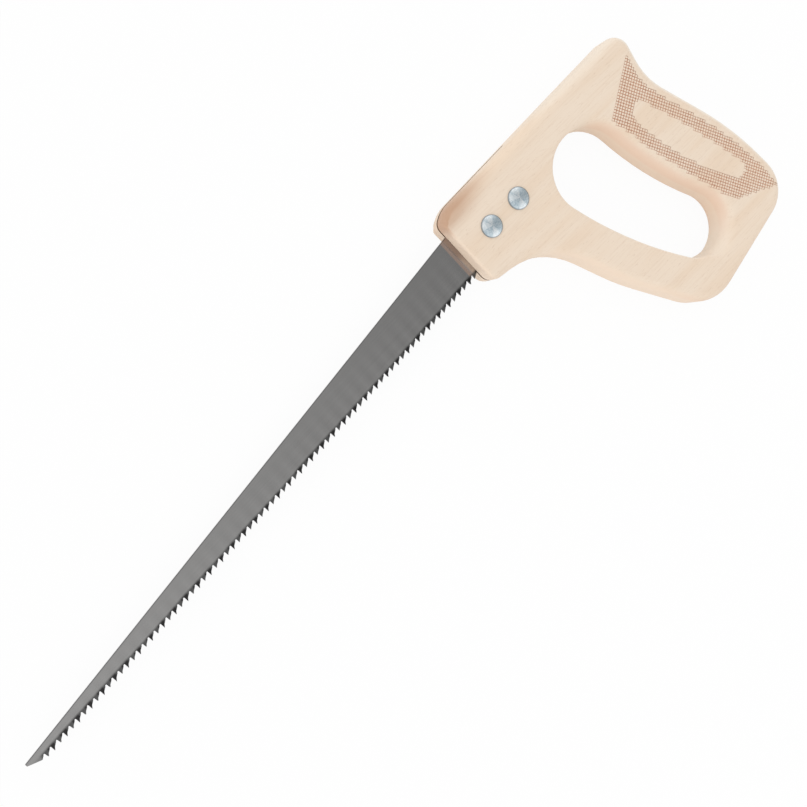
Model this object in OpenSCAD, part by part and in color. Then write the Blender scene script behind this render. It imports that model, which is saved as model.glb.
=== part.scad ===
// Keyhole saw: a tapered, toothed steel blade held in the kerf of a closed beech handle
// by two saw bolts with slotted nuts. It lies flat on its lower cheek, teeth towards -Y,
// blade towards -X. Millimetres.

/* [Handle outline] */
// Length of the straight spine, from the front face to the horn's corner
spine_len = 137.6; // [125:0.1:150]
// Height of the front face, from the spine down to the chin's corner
front_h = 41.5; // [38:0.5:46]
// Drop of the nose, where the front face turns towards the spine, below the spine
nose_drop = 4.1; // [3.7:0.1:4.5]
// Rounding of the nose
nose_r = 5.2; // [5:0.1:5.6]
// Distance of the brow, where that turn meets the spine, behind the front face
brow_back = 6.7; // [6.2:0.1:7.2]
// Rounding of the brow
brow_r = 17.4; // [14:0.1:18]
// Rounding of the lower front corner
chin_r = 5.7; // [5.3:0.1:12]
// Rounding of the horn above the grip
horn_r = 8.4; // [6:0.1:10]
// Rise of the spine from the front face to the horn
horn_rise = 0.8; // [0:0.1:2]
// How far the hollow for the web of the hand lies ahead of the horn
hollow_in = 6; // [3:0.5:10]
// Drop of the hollow's corner below the spine
hollow_drop = 26.5; // [22:0.5:32]
// Radius of the hollow
hollow_r = 32.7; // [20:0.1:36]
// How far the swell of the grip stands behind the horn
swell_out = 14.5; // [10:0.5:18]
// Drop of the swell below the spine
swell_drop = 77.8; // [70:0.1:86]
// Radius of the swell
swell_r = 153.5; // [100:0.5:180]
// How far the heel of the grip stands behind the horn
heel_out = 19.5; // [15:0.5:24]
// Drop of the heel below the spine
heel_drop = 122.1; // [115:0.1:128]
// Rounding of the heel
heel_r = 19; // [10:0.5:24]
// Distance of the toe, the lowest corner of the bow, behind the front face
toe_back = 79.1; // [74:0.1:84]
// Drop of the toe below the spine
toe_drop = 136; // [130:0.5:142]
// Rounding of the toe
toe_r = 23; // [16:0.5:28]
// Distance of the lower arm's bend behind the front face
arm_back = 52.5; // [49:0.5:55]
// Drop of the lower arm's bend below the spine
arm_drop = 92; // [86:0.5:98]
// Radius of the lower arm's bend
arm_r = 132; // [80:1:160]
// Distance of the throat's corner behind the front face
throat_back = 33.9; // [30:0.1:37]
// Drop of the throat's corner below the spine
throat_drop = 47.5; // [43:0.5:50]
// Radius of the throat
throat_r = 41.6; // [25:0.1:45]

/* [Finger opening] */
// Distance of the upper round's centre behind the front face
upper_back = 76.3; // [72:0.1:80]
// Drop of the upper round's centre below the spine
upper_drop = 38.9; // [36:0.1:42]
// Radius of the upper round
upper_r = 21.5; // [18:0.5:23]
// Distance of the lower round's centre behind the front face
lower_back = 99.9; // [96:0.1:104]
// Drop of the lower round's centre below the spine
lower_drop = 96.9; // [92:0.1:101]
// Radius of the lower round
lower_r = 17.3; // [14:0.1:19]
// Radius of the opening's hollow front side
opening_front_r = 212; // [120:2:260]
// Radius of the grip's bulge into the opening
opening_grip_r = 168; // [130:2:240]

/* [Handle section] */
// Thickness of the handle
handle_t = 20; // [16:0.5:24]
// Roundover of the outer edges
outer_edge_r = 5; // [3:0.5:5.5]
// Roundover of the spine's edges behind the nose, where it is largest
nose_edge_r = 6.8; // [5:0.1:7]
// Distance behind the front face over which the spine's roundover falls back to that of the rest
nose_ease = 107; // [60:1:130]
// Roundover of the front face's edges, where the blade comes out
front_edge_r = 2; // [0.5:0.1:3]
// Distance behind the front face over which its roundover grows to the full one, at the chin
edge_ease = 7.5; // [7:0.1:24]
// The same distance at the nose
nose_start = 0.9; // [0.8:0.1:4]
// How much less the nose's roundover reaches inwards than down
nose_tight = 1; // [0.95:0.05:1.1]
// Roundover of the opening on the grip's side, where the fingers lie
grip_edge_r = 7; // [4:0.5:7.5]
// Roundover of the opening on the other sides
arm_edge_r = 1.6; // [0.8:0.1:3]
// Heading of the opening's side where its roundover is largest, from the spine's line
grip_heading = -20; // [-40:1:20]

/* [Blade] */
// Length of the blade in front of the handle
blade_len = 301; // [200:1:360]
// Thickness of the blade
blade_t = 1.2; // [0.8:0.1:1.6]
// Drop of the blade's back edge below the spine, at the front face
blade_drop = 10.6; // [8:0.1:12]
// Width over the teeth at the front face
heel_w = 24.7; // [22:0.1:27]
// Width over the tooth line at the toe
toe_w = 5.6; // [5:0.1:8]
// Angle of the tooth line to the spine, falling away towards the toe
tooth_line_angle = 1.5; // [0:0.1:3]
// Width of the blunt point
point_w = 1.2; // [0.8:0.1:2]
// Distance of the nose's lower corner behind the point
nose_back = 6; // [4:0.1:8]
// Distance of the first gullet behind that corner
nose_gullet = 1.6; // [1:0.1:3]
// Depth of the tang behind the front face
tang_len = 46; // [44:0.5:47]
// Rounding of the tang's corners
tang_r = 6; // [3:0.5:8]

/* [Teeth] */
// Distance from tooth to tooth
tooth_pitch = 3.81; // [3:0.01:5]
// Depth of the gullets
tooth_depth = 2.65; // [1.8:0.05:2.8]
// Lean of the cutting faces away from the toe
tooth_rake = 9; // [0:1:15]
// Width of the rounded gullet bottom
gullet_w = 0.8; // [0.3:0.1:1]
// Sideways set of the tips, left and right in turn
tooth_set = 0.3; // [0:0.05:0.5]
// Height of the set teeth's bend line above the gullets
bend_rise = 0.5; // [0.2:0.1:1]

/* [Kerf] */
// Play of the blade between the two cheeks, each side
kerf_play = 0.1; // [0.05:0.05:0.3]
// Furthest reach of the kerf behind the front face
kerf_reach = 53.5; // [53:0.5:56]
// Radius of the disc that cuts the kerf
kerf_disc_r = 54; // [52:1:60]
// Drop of that disc's centre below the spine
kerf_disc_drop = 2.5; // [2:0.5:6]

/* [Saw bolts] */
// Distance of the front bolt behind the front face
bolt_front_back = 17.4; // [15:0.1:19]
// Distance from bolt to bolt
bolt_pitch = 19.5; // [16:0.5:20]
// Drop of the bolts below the spine
bolt_drop = 21.5; // [19:0.5:22]
// Diameter of the domed heads
head_d = 10.8; // [9:0.1:13]
// Height of the heads' rim
head_rim = 0.5; // [0.3:0.1:1]
// Height of the dome above the rim
head_dome = 1.4; // [0.8:0.1:2]
// Diameter of the shanks
shank_d = 5; // [4:0.1:6]
// Depth of the square neck under the head
neck_depth = 3; // [2:0.1:4]
// Diameter of the slotted nuts
nut_d = 10; // [8:0.1:12]
// Thickness of the nuts
nut_t = 3.2; // [2.5:0.1:4]
// Width of the nuts' slot
slot_w = 1.2; // [0.8:0.1:1.6]
// Depth of the nuts' slot
slot_depth = 1.2; // [0.8:0.1:1.6]
// Distance of the shanks' ends above the bottom of the nuts' slot
shank_short = 0.2; // [0:0.1:1]
// Play round the shanks, in the wood, the blade and the nuts
shank_play = 0.1; // [0.05:0.05:0.3]
// Play round the nuts and the square necks, in the wood
seat_play = 0.15; // [0.05:0.05:0.3]

/* [Hidden] */

beech = [0.90, 0.80, 0.66];
saw_steel = [0.42, 0.42, 0.42];
zinc = [0.78, 0.80, 0.83];

// Turn of one facet on a round, and the longest facet, of the outlines
facet_turn = 8;
facet_len = 8;
// Facets of each roundover
edge_facets = 6;
// Facets of a true circle
circle_fn = 96;
// Overshoot of cuts past the faces that they open
cut = 1;

mid_z = handle_t / 2;
bolt_places = [[bolt_front_back, -bolt_drop], [bolt_front_back + bolt_pitch, -bolt_drop]];

// Corners of the handle's outline, counter-clockwise from the nose: place and radius
handle_corners = [
    [[0, -nose_drop], nose_r],
    [[0, -front_h], chin_r],
    [[throat_back, -throat_drop], throat_r],
    [[arm_back, -arm_drop], arm_r],
    [[toe_back, -toe_drop], toe_r],
    [[spine_len + heel_out, -heel_drop], heel_r],
    [[spine_len + swell_out, -swell_drop], swell_r],
    [[spine_len - hollow_in, -hollow_drop], hollow_r],
    [[spine_len, horn_rise], horn_r],
    [[brow_back, 0], brow_r]
];

function unit(v) = v / norm(v);
function heading(v) = atan2(v[1], v[0]);
function ahead(a, b) = (b - a) - 360 * floor((b - a) / 360);
function smooth(t) = let (s = min(1, max(0, t))) s * s * (3 - 2 * s);
function at(list, i) = list[(i + len(list)) % len(list)];

// Rounds of a polygon of corners: each is limited by the edges that it shares with its neighbours
function place(c, i) = at(c, i)[0];
function edge_heading(c, i) = heading(place(c, i + 1) - place(c, i));
function turn(c, i) = ahead(edge_heading(c, i - 1) - 180, edge_heading(c, i)) - 180;
function wish(c, i) = at(c, i)[1] * tan(abs(turn(c, i)) / 2);
function share(c, i) = norm(place(c, i + 1) - place(c, i)) / (wish(c, i) + wish(c, i + 1));
function corner_r(c, i) = at(c, i)[1] * min(1, 0.98 * share(c, i - 1), 0.98 * share(c, i));

// Points of an arc with their outward directions, as [place, direction]
function arc(centre, r, from, sweep, outward) =
    let (n = max(2, ceil(abs(sweep) / facet_turn), ceil(abs(sweep) * PI * r / 180 / facet_len)))
    [for (k = [0 : n]) let (a = from + sweep * k / n, d = [cos(a), sin(a)]) [centre + r * d, outward * d]];

function corner_arc(c, i) =
    let (
        bend = turn(c, i),
        side = bend > 0 ? 1 : -1,
        r = corner_r(c, i),
        along = unit(place(c, i) - place(c, i - 1)),
        start = place(c, i) - along * r * tan(abs(bend) / 2),
        inward = side * [-along[1], along[0]]
    )
    arc(start + r * inward, r, heading(-inward), bend, side);

// The straight run from the end of one corner's arc to the start of the next, split into short steps
function straight_run(a, b) =
    let (n = floor(norm(b[0] - a[0]) / facet_len), out = unit([b[0][1] - a[0][1], a[0][0] - b[0][0]]))
    [for (k = [1 : 1 : n - 1]) [a[0] + (b[0] - a[0]) * k / n, out]];

function rounded_outline(c) =
    let (arcs = [for (i = [0 : len(c) - 1]) corner_arc(c, i)])
    [
        for (i = [0 : len(c) - 1])
            let (this = arcs[i], next = at(arcs, i + 1))
            each concat(this, straight_run(this[len(this) - 1], next[0]))
    ];

// Centre that lies ra from a and rb from b, on the left of the way from a to b
function meeting(a, ra, b, rb) =
    let (d = norm(b - a), x = (d * d + ra * ra - rb * rb) / (2 * d), u = (b - a) / d)
    a + u * x + [-u[1], u[0]] * sqrt(ra * ra - x * x);

// Opening: two rounds joined by a hollow arc towards the blade and a bulging arc towards the grip
upper_c = [upper_back, -upper_drop];
lower_c = [lower_back, -lower_drop];
front_c = meeting(upper_c, opening_front_r - upper_r, lower_c, opening_front_r - lower_r);
grip_c = meeting(upper_c, opening_grip_r + upper_r, lower_c, opening_grip_r + lower_r);
upper_from = heading(grip_c - upper_c);
front_from = heading(upper_c - front_c);
lower_from = heading(lower_c - front_c);
grip_from = heading(lower_c - grip_c);
grip_to = heading(upper_c - grip_c);
opening_outline = [
    each inner_points(arc(upper_c, upper_r, upper_from, ahead(upper_from, front_from), -1)),
    each inner_points(arc(front_c, opening_front_r, front_from, ahead(front_from, lower_from), -1)),
    each inner_points(arc(lower_c, lower_r, lower_from, ahead(lower_from, heading(grip_c - lower_c)), -1)),
    each inner_points(arc(grip_c, opening_grip_r, grip_from, -ahead(grip_to, grip_from), 1))
];
// An arc without its last point, which the next arc starts with
function inner_points(a) = [for (k = [0 : len(a) - 2]) a[k]];

// Roundover at each point of the outlines, as its depth below the cheek and its reach inwards.
// Outside it grows quickly behind the front face and is largest on the spine, and it reaches in
// less at the tight nose. In the opening it is largest on the side towards the hand's palm.
grip_across = [cos(grip_heading), sin(grip_heading)];
function full_r(p) =
    outer_edge_r + (nose_edge_r - outer_edge_r) * smooth(1 - p[0][0] / nose_ease) * max(0, p[1][1]);
function front_ease(p) = p[1][1] > 0 ? nose_start : edge_ease;
function outer_r(p) =
    front_edge_r + (full_r(p) - front_edge_r) * sin(90 * min(1, max(0, p[0][0] / front_ease(p))));
function outer_round(p) = outer_r(p) * [1, 1 - nose_tight * max(0, -p[1][0]) * max(0, p[1][1])];
function opening_r(p) = arm_edge_r + (grip_edge_r - arm_edge_r) * smooth(0.3 - 2 * (p[1] * grip_across));
function opening_round(p) = opening_r(p) * [1, 1];

// Steps of a roundover, as shares of its radius: how far it is set in, and how far below the cheek.
// The last step runs on past the cheek's plane, where the slab of the handle cuts it off.
function round_step(k) = let (a = 90 * k / edge_facets) [1 - cos(a), 1 - sin(a)];
edge_steps = [
    for (k = [0 : edge_facets])
        round_step(k) + (k < edge_facets ? [0, 0] : (round_step(k) - round_step(k - 1)) / 2)
];

// Rings of a rounded wall, from the lower cheek up to the upper one
function ring(outline, rounds, step, upper) = [
    for (i = [0 : len(outline) - 1])
        let (p = outline[i], r = rounds[i], depth = r[0] * step[1])
        concat(p[0] - p[1] * r[1] * step[0], upper ? handle_t - depth : depth)
];
function wall(outline, rounds) = [
    for (k = [edge_facets : -1 : 0]) each ring(outline, rounds, edge_steps[k], false),
    for (k = [0 : edge_facets]) each ring(outline, rounds, edge_steps[k], true)
];

// An outline that starts at its smallest angle round the given centre
function angles(outline, c) = [for (p = outline) ahead(0, heading(p[0] - c))];
function wound(outline, c) =
    let (a = angles(outline, c), first = search(min(a), a)[0])
    [for (i = [0 : len(outline) - 1]) at(outline, i + first)];
function count_below(list, v) = len([for (x = list) if (x < v) 1]);
function count_up_to(list, v) = len([for (x = list) if (x <= v) 1]);

module handle_blank() {
    outer = wound(rounded_outline(handle_corners), upper_c);
    inner = wound(opening_outline, upper_c);
    n = len(outer);
    m = len(inner);
    rings = 2 * len(edge_steps);
    points = concat(
        wall(outer, [for (p = outer) outer_round(p)]),
        wall(inner, [for (p = inner) opening_round(p)])
    );
    base = rings * n;
    outer_angle = angles(outer, upper_c);
    inner_angle = angles(inner, upper_c);
    outer_wall = [
        for (k = [0 : rings - 2], i = [0 : n - 1])
            let (j = (i + 1) % n, a = k * n, b = a + n)
            each [[a + i, b + i, b + j], [a + i, b + j, a + j]]
    ];
    inner_wall = [
        for (k = [0 : rings - 2], i = [0 : m - 1])
            let (j = (i + 1) % m, a = base + k * m, b = a + m)
            each [[a + i, b + j, b + i], [a + i, a + j, b + j]]
    ];
    // The ends: each edge of one outline reaches to the point of the other that is passed last
    end_outer = [
        for (i = [0 : n - 1])
            [i, (i + 1) % n, (count_below(inner_angle, at(outer_angle, i + 1)) - 1 + m) % m]
    ];
    end_inner = [
        for (j = [0 : m - 1])
            [j, (j + 1) % m, (count_up_to(outer_angle, at(inner_angle, j + 1)) - 1 + n) % n]
    ];
    top = (rings - 1) * n;
    inner_top = base + (rings - 1) * m;
    ends = concat(
        [for (t = end_outer) [t[0], t[1], base + t[2]]],
        [for (t = end_inner) [base + t[1], base + t[0], t[2]]],
        [for (t = end_outer) [top + t[1], top + t[0], inner_top + t[2]]],
        [for (t = end_inner) [inner_top + t[0], inner_top + t[1], top + t[2]]]
    );
    polyhedron(points, concat(outer_wall, inner_wall, ends), convexity = 8);
}

// Stands a piece on each bolt's place
module at_bolt(i) {
    translate(concat(bolt_places[i], 0))
        children();
}

module bolt_seat() {
    translate([0, 0, -cut])
        cylinder(d = shank_d + 2 * shank_play, h = handle_t + 2 * cut, $fn = circle_fn);
    translate([0, 0, -cut])
        cylinder(d = nut_d + 2 * seat_play, h = nut_t + cut, $fn = circle_fn);
    translate([-shank_d / 2 - seat_play, -shank_d / 2 - seat_play, handle_t - neck_depth - seat_play])
        cube([shank_d + 2 * seat_play, shank_d + 2 * seat_play, neck_depth + seat_play + cut]);
}

module kerf() {
    translate([kerf_reach - kerf_disc_r, -kerf_disc_drop, mid_z - blade_t / 2 - kerf_play])
        cylinder(r = kerf_disc_r, h = blade_t + 2 * kerf_play, $fn = circle_fn);
}

module handle() {
    color(beech)
        seated()
            difference() {
                intersection() {
                    handle_blank();
                    translate([-cut, -toe_drop - cut, 0])
                        cube([spine_len + heel_out + 2 * cut, toe_drop + horn_rise + 2 * cut, handle_t]);
                }
                kerf();
                for (i = [0, 1])
                    at_bolt(i)
                        bolt_seat();
            }
}

// Blade edges as heights over the distance from the front face
tooth_slope = tan(tooth_line_angle);
back_slope = tooth_slope + (heel_w - toe_w) / blade_len;
function back_y(x) = -blade_drop + back_slope * x;
function tip_y(x) = -blade_drop - heel_w + tooth_slope * x;
function gullet_y(x) = tip_y(x) + tooth_depth;

face_run = tooth_depth * tan(tooth_rake);
nose_x = -blade_len + nose_back;
first_tip = nose_x + nose_gullet + gullet_w + face_run;
tooth_count = floor(-first_tip / tooth_pitch) + 1;
// One tooth, from its rounded gullet over the cutting face to its tip: offset, share of the depth
tooth_profile = [
    [-face_run - gullet_w, 0.1],
    [-face_run - gullet_w / 2, 0],
    [-face_run, 0.12],
    [0, 1]
];

// Columns of the blade from the point to the tang's end: [x, back, bend line, edge, sideways set]
function column(x, edge, side) = [x, back_y(x), gullet_y(x) + bend_rise, edge, side];
point_column = let (y = back_y(-blade_len)) [-blade_len, y, y - point_w / 2, y - point_w, 0];
nose_column = column(nose_x, gullet_y(nose_x) - tooth_depth / 2, 0);
tooth_columns = [
    for (i = [0 : tooth_count - 1], p = tooth_profile)
        let (x = first_tip + i * tooth_pitch + p[0])
        column(x, gullet_y(x) - p[1] * tooth_depth, p[1] == 1 ? (i % 2 == 0 ? tooth_set : -tooth_set) : 0)
];
// The tang keeps the gullets' line, and its end is rounded at both corners
tang_columns = [
    for (k = [0 : 6])
        let (
            a = k * 15,
            x = k == 0 ? tooth_pitch : tang_len - tang_r + tang_r * sin(a),
            dip = k == 0 ? 0 : tang_r * (1 - cos(a))
        )
        [x, back_y(x) - dip, gullet_y(x) + bend_rise + dip, gullet_y(x) + dip, 0]
];
blade_columns = concat([point_column, nose_column], tooth_columns, tang_columns);

module blade_blank() {
    cols = blade_columns;
    n = len(cols);
    half = blade_t / 2;
    rows = 6;
    points = [
        for (c = cols) each [
            [c[0], c[1], mid_z + half], [c[0], c[2], mid_z + half], [c[0], c[3], mid_z + half + c[4]],
            [c[0], c[3], mid_z - half + c[4]], [c[0], c[2], mid_z - half], [c[0], c[1], mid_z - half]
        ]
    ];
    skin = [
        for (i = [0 : n - 2], r = [0 : rows - 1])
            let (a = i * rows + r, b = i * rows + (r + 1) % rows, c = a + rows, d = b + rows)
            each [[a, c, d], [a, d, b]]
    ];
    last = (n - 1) * rows;
    ends = [
        [0, 1, 4], [0, 4, 5], [1, 2, 3], [1, 3, 4],
        [last, last + 4, last + 1], [last, last + 5, last + 4],
        [last + 1, last + 3, last + 2], [last + 1, last + 4, last + 3]
    ];
    polyhedron(points, concat(skin, ends), convexity = 10);
}

module blade() {
    color(saw_steel)
        seated()
            difference() {
                blade_blank();
                for (i = [0, 1])
                    at_bolt(i)
                        cylinder(d = shank_d + 2 * shank_play, h = handle_t, $fn = circle_fn);
            }
}

// Domed head on the upper cheek, square neck in the wood, shank down into the nut
dome_r = (head_d * head_d / 4 + head_dome * head_dome) / (2 * head_dome);
shank_end = slot_depth + shank_short;

module saw_bolt(i) {
    color(zinc)
        seated()
            at_bolt(i) {
                intersection() {
                    translate([0, 0, handle_t])
                        cylinder(d = head_d, h = head_rim + head_dome, $fn = circle_fn);
                    translate([0, 0, handle_t + head_rim + head_dome - dome_r])
                        sphere(r = dome_r, $fn = circle_fn);
                }
                translate([-shank_d / 2, -shank_d / 2, handle_t - neck_depth])
                    cube([shank_d, shank_d, neck_depth]);
                translate([0, 0, shank_end])
                    cylinder(d = shank_d, h = handle_t - neck_depth - shank_end, $fn = circle_fn);
            }
}

module saw_nut(i) {
    color(zinc)
        seated()
            at_bolt(i)
                difference() {
                    cylinder(d = nut_d, h = nut_t, $fn = circle_fn);
                    translate([0, 0, -cut])
                        cylinder(d = shank_d + 2 * shank_play, h = nut_t + 2 * cut, $fn = circle_fn);
                    translate([-nut_d / 2 - cut, -slot_w / 2, -cut])
                        cube([nut_d + 2 * cut, slot_w, slot_depth + cut]);
                }
}

module saw_bolt_front() {
    saw_bolt(0);
}

module saw_bolt_rear() {
    saw_bolt(1);
}

module saw_nut_front() {
    saw_nut(0);
}

module saw_nut_rear() {
    saw_nut(1);
}

// Puts the middle of the whole saw's outline over the origin
handle_points = [for (p = rounded_outline(handle_corners)) p[0]];
middle = [
    (max([for (p = handle_points) p[0]]) - blade_len) / 2,
    (max([for (p = handle_points) p[1]]) + min([for (p = handle_points) p[1]])) / 2
];

module seated() {
    translate([-middle[0], -middle[1], 0])
        children();
}

handle();
blade();
saw_bolt_front();
saw_bolt_rear();
saw_nut_front();
saw_nut_rear();
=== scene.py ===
"""Keyhole saw with a checkered beech handle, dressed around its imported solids.

The saw lies flat on its lower cheek. Sizes are in millimetres, measured on the saw itself: x from
the handle's front face towards the grip, and y up from the spine, so that the teeth and the grip
lie at negative y. Places handed to Blender are in metres, in the shared frame.
"""

import logging
import math
from collections.abc import Callable, Sequence
from dataclasses import asdict, dataclass, field, replace
from enum import Enum
from functools import cached_property

import bpy
import numpy as np
from mathutils import Matrix, Vector


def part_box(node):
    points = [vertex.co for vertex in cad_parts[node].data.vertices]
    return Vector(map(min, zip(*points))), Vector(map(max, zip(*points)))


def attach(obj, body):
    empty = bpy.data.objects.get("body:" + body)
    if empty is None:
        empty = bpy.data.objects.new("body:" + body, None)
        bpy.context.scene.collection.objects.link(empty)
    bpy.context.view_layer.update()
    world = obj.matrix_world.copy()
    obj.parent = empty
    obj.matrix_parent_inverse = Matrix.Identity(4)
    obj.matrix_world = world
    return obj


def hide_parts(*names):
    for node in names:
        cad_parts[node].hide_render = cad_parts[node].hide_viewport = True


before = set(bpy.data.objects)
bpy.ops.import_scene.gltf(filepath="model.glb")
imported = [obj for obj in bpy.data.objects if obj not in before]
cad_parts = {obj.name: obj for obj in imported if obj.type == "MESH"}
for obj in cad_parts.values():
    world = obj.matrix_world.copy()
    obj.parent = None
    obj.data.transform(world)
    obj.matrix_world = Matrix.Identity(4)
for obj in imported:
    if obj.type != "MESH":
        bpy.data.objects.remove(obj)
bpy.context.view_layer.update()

log = logging.getLogger("keyhole_saw")

MM = 0.001
BODY = "root"
BOLT_DROP = 21.5
HANDLE_LOW, HANDLE_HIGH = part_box("handle")
BOLT_LOW, BOLT_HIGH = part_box("saw_bolt_front")
FRONT_X: float = HANDLE_LOW.x
SPINE_Y: float = (BOLT_LOW.y + BOLT_HIGH.y) / 2 + BOLT_DROP * MM
CHEEK_Z: float = HANDLE_HIGH.z
MID_Z: float = CHEEK_Z / 2

# How close points are that get merged, that share a place, and that lie on a line.
DOUBLES = 0.002
SAME_PLACE = 0.01
ON_LINE = 0.02

ROUND_SIDES = 48
BEVEL_STEPS = 2
SHARP_DEG = 40.0
FLAT_WEIGHT = 90

Piece = bpy.types.Object
Material = bpy.types.Material
Node = bpy.types.Node
Socket = bpy.types.NodeSocket
Tree = bpy.types.NodeTree
Split = dict[str, Socket]
Point = tuple[float, float]
Triple = tuple[float, float, float]
Color = tuple[float, float, float]


class Cheek(Enum):
    """The two flat sides of the handle, with the outward direction of each along Z."""

    UPPER = 1
    LOWER = -1

    @property
    def level(self) -> float:
        """Height of this cheek's plane, in metres."""
        return CHEEK_Z if self is Cheek.UPPER else 0.0


class Element(Enum):
    """Kinds of mesh element that a selection is made of, with the name of their list."""

    VERTEX = "vertices"
    EDGE = "edges"
    FACE = "polygons"


def on_saw(x: float, y: float, z: float = MID_Z) -> Vector:
    """Place in the shared frame of a point that is given in the saw's own millimetres."""
    return Vector((FRONT_X + x * MM, SPINE_Y + y * MM, z))


def object_mode() -> None:
    """Leave edit mode if some piece is in it."""
    if bpy.context.object is not None and bpy.context.object.mode != "OBJECT":
        bpy.ops.object.mode_set(mode="OBJECT")


def deselect() -> None:
    """Leave nothing selected, as before a new primitive."""
    object_mode()
    bpy.ops.object.select_all(action="DESELECT")


def select_only(*pieces: Piece) -> None:
    """Select some pieces alone and make the first of them active.

    Args:
        pieces: The pieces to select.
    """
    deselect()
    for piece in pieces:
        piece.select_set(True)
    bpy.context.view_layer.objects.active = pieces[0]


def pick(piece: Piece, element: Element, flags: np.ndarray) -> None:
    """Enter edit mode with just some elements of a piece selected.

    Args:
        piece: The piece whose mesh is edited.
        element: The kind of element to select.
        flags: Whether each element of that kind is selected.
    """
    select_only(piece)
    for kind in Element:
        items = getattr(piece.data, kind.value)
        items.foreach_set("select", flags if kind is element else np.zeros(len(items), bool))
    bpy.context.tool_settings.mesh_select_mode = [kind is element for kind in Element]
    bpy.ops.object.mode_set(mode="EDIT")


def pick_all(piece: Piece) -> None:
    """Enter edit mode with the whole mesh of a piece selected.

    Args:
        piece: The piece whose mesh is edited.
    """
    object_mode()
    pick(piece, Element.FACE, np.ones(len(piece.data.polygons), bool))
    bpy.ops.mesh.select_all(action="SELECT")


def saw_places(piece: Piece) -> np.ndarray:
    """Read where the vertices of a piece are.

    Args:
        piece: The piece to read.

    Returns:
        The saw's own millimetres of each vertex as a row, with heights from the middle plane.
    """
    places = np.empty(len(piece.data.vertices) * 3)
    piece.data.vertices.foreach_get("co", places)
    return (places.reshape(-1, 3) - np.array(on_saw(0.0, 0.0))) / MM


def edge_ends(piece: Piece) -> np.ndarray:
    """The two vertex indices of each edge of a piece as a row."""
    return np.array([edge.vertices[:] for edge in piece.data.edges])


def rim_edges(piece: Piece) -> np.ndarray:
    """Find the edges that bound only one face.

    Args:
        piece: The piece to read.

    Returns:
        Whether each edge is on a rim.
    """
    count: dict[tuple[int, int], int] = {}
    for face in piece.data.polygons:
        for key in face.edge_keys:
            count[key] = count.get(key, 0) + 1
    return np.array([count.get(edge.key, 0) == 1 for edge in piece.data.edges], bool)


def apply_modifier(piece: Piece, kind: str, **settings: object) -> None:
    """Add a modifier to a piece and apply it at once.

    Args:
        piece: The piece that it changes.
        kind: Blender's type name of the modifier.
        settings: Property values of the modifier.
    """
    select_only(piece)
    modifier = piece.modifiers.new(kind.lower(), kind)
    for name, value in settings.items():
        setattr(modifier, name, value)
    bpy.ops.object.modifier_apply(modifier=modifier.name)


def cut_away(piece: Piece, cutter: Piece) -> None:
    """Cut the shape of one piece out of another and remove the cutter."""
    apply_modifier(piece, "BOOLEAN", operation="DIFFERENCE", solver="EXACT", object=cutter)
    bpy.data.objects.remove(cutter)


def weld(piece: Piece, outward: bool = True) -> None:
    """Merge the double points of a piece and turn its faces outwards.

    Args:
        piece: The piece to weld.
        outward: Whether faces are turned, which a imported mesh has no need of.
    """
    pick_all(piece)
    bpy.ops.mesh.remove_doubles(threshold=DOUBLES * MM)
    if outward:
        bpy.ops.mesh.normals_make_consistent(inside=False)
    object_mode()


def bevel_edges(piece: Piece, flags: np.ndarray, width: float) -> None:
    """Bevel some edges of a piece.

    Args:
        piece: The piece to work on.
        flags: Whether each edge is bevelled.
        width: Width of the bevel, in millimetres.
    """
    pick(piece, Element.EDGE, flags)
    bpy.ops.mesh.bevel(offset=width * MM, segments=BEVEL_STEPS, affect="EDGES")
    object_mode()


def break_edges(piece: Piece, width: float) -> None:
    """Bevel all sharp edges of a piece by a width in millimetres."""
    apply_modifier(piece, "BEVEL", width=width * MM, segments=BEVEL_STEPS, limit_method="ANGLE",
                   angle_limit=math.radians(SHARP_DEG))


def smooth_skin(piece: Piece, angle_deg: float, weighted: bool = True) -> None:
    """Shade a piece smooth up to an edge angle.

    Args:
        piece: The piece to shade.
        angle_deg: Edges that turn by more than this stay sharp.
        weighted: Whether large flats are kept flat beside their rounded edges.
    """
    select_only(piece)
    bpy.ops.object.shade_smooth_by_angle(angle=math.radians(angle_deg))
    if weighted:
        apply_modifier(piece, "WEIGHTED_NORMAL", mode="FACE_AREA", weight=FLAT_WEIGHT,
                       keep_sharp=True)


def fresh_piece(name: str, extent: Triple = (1.0, 1.0, 1.0)) -> Piece:
    """Name the primitive that was just added, and set its place and size into its mesh.

    Args:
        name: Name of the new piece.
        extent: Factors of its size along its own axes.

    Returns:
        The new piece.
    """
    piece = bpy.context.object
    piece.name = name
    piece.data.name = name
    piece.scale = extent
    bpy.ops.object.transform_apply(location=True, rotation=True, scale=True)
    return piece


def add_round(name: str, centre: Vector, diameter: float, length: float,
              sides: int = ROUND_SIDES) -> Piece:
    """Add an upright round bar.

    Args:
        name: Name of the new piece.
        centre: Its middle, in the shared frame.
        diameter: Its diameter, in millimetres.
        length: Its length, in millimetres.
        sides: How many sides its circle has.

    Returns:
        The new piece.
    """
    deselect()
    bpy.ops.mesh.primitive_cylinder_add(vertices=sides, radius=diameter / 2 * MM,
                                        depth=length * MM, location=centre)
    return fresh_piece(name)


def add_block(name: str, centre: Vector, extent: Triple) -> Piece:
    """Add a block.

    Args:
        name: Name of the new piece.
        centre: Its middle, in the shared frame.
        extent: Its sides, in millimetres.

    Returns:
        The new piece.
    """
    deselect()
    bpy.ops.mesh.primitive_cube_add(size=1.0, location=centre)
    return fresh_piece(name, tuple(side * MM for side in extent))


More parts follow.
